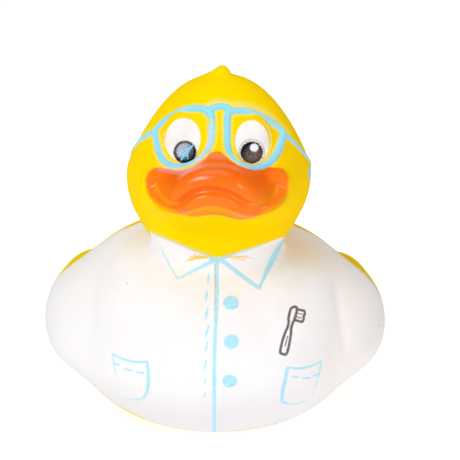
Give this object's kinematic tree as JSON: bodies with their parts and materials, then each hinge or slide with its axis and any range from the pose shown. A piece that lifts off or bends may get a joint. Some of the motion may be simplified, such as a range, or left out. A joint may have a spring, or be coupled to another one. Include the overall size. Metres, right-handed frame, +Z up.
{
  "type": "rubber duck",
  "caption": "Hollow moulded bath duck in a painted white coat and glasses, with a broad smiling bill, folded wings, a raised tail, a flat base and a squeaker plug in it.",
  "frame": {"origin": "centre of the duck's bounding box seen from above, on the plane of its flat base", "axes": "+Z up from the base to the crest, the duck's longest extent; -Y is the way the bill points; +X is across the wings, towards the right of a viewer who faces the duck, its shortest extent"},
  "size_m": [0.0836, 0.0884, 0.0897],
  "materials": {
    "rubber": "satin soft vinyl",
    "hard_plastic": "moulded, plain"
  },
  "bodies": {
    "root": {"duck_shell": "rubber", "squeaker": "hard_plastic"}
  },
  "joints": []
}
